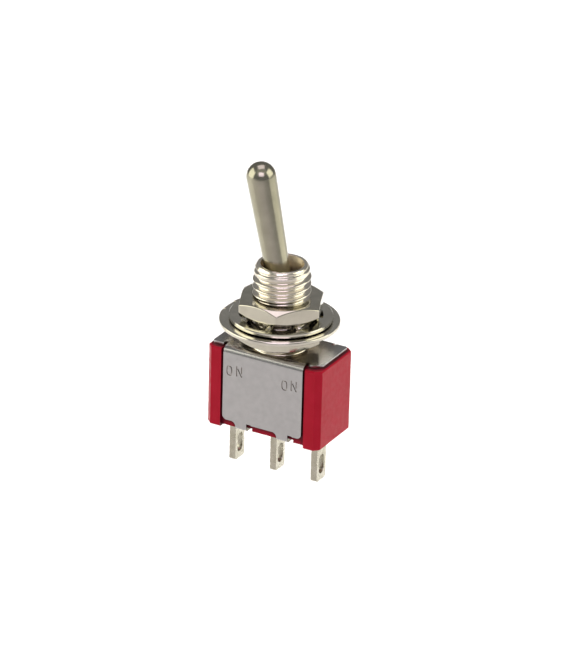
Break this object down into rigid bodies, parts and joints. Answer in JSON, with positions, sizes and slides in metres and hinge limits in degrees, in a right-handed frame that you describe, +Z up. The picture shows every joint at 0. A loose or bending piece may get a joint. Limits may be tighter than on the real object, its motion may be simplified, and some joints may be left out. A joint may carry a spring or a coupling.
{
  "type": "miniature toggle switch",
  "caption": "Miniature panel toggle switch: bat lever in a threaded bushing, folded steel frame over a red moulded case, solder terminals below.",
  "frame": {"origin": "on the bushing's axis, at the top face of the folded bracket", "axes": "+Z up along the bushing towards the lever's end, +X along the row of terminals in the lever's plane of swing, towards the right terminal with the flat flap facing the viewer, +Y away from that viewer"},
  "size_m": [0.013, 0.012, 0.0327],
  "materials": {
    "red_moulding": "satin moulded red",
    "resin": "cured resin, dark red",
    "frame_steel": "matt nickel-plated sheet",
    "nickel_bushing": "bright nickel on brass",
    "nickel_lever": "satin nickel on brass",
    "plunger_plastic": "natural moulding",
    "spring_steel": "drawn wire",
    "contact_alloy": "silver plate",
    "terminal_silver": "silver-plated, slightly dull",
    "nickel_nut": "bright nickel",
    "nickel_washer": "bright nickel"
  },
  "bodies": {
    "housing": {"case": "red_moulding", "terminal_seal": "resin", "frame_bracket": "frame_steel", "bushing": "nickel_bushing", "common_terminal": "terminal_silver", "left_terminal": "terminal_silver", "right_terminal": "terminal_silver", "left_fixed_contact": "contact_alloy", "right_fixed_contact": "contact_alloy", "backing_nut": "nickel_nut", "locating_washer": "nickel_washer", "lock_washer": "nickel_washer", "panel_nut": "nickel_nut"},
    "lever": {"toggle_lever": "nickel_lever", "plunger_spring": "spring_steel"},
    "plunger": {"plunger": "plunger_plastic"},
    "rocker": {"rocker_contact": "contact_alloy", "left_moving_contact": "contact_alloy", "right_moving_contact": "contact_alloy"}
  },
  "joints": [
    {"name": "lever_pivot", "type": "hinge", "parent": "housing", "child": "lever", "pos_m": [0, 0, 0.00555], "axis": [0, 1, 0], "range_deg": [0, 25]},
    {"name": "rocker_tilt", "type": "hinge", "parent": "housing", "child": "rocker", "pos_m": [0, 0, -0.00457], "axis": [0, 1, 0], "range_deg": [-16, 0]},
    {"name": "plunger_slide", "type": "slide", "parent": "lever", "child": "plunger", "axis": [-0.2164, 0, 0.9763], "range_m": [0, 0.0004], "stiffness_N_per_m": 200, "springref_m": -0.0005, "deforming": ["plunger_spring"]}
  ],
  "couplings": [
    {"joint": "rocker_tilt", "follows": "lever_pivot", "ratio": -0.64}
  ]
}
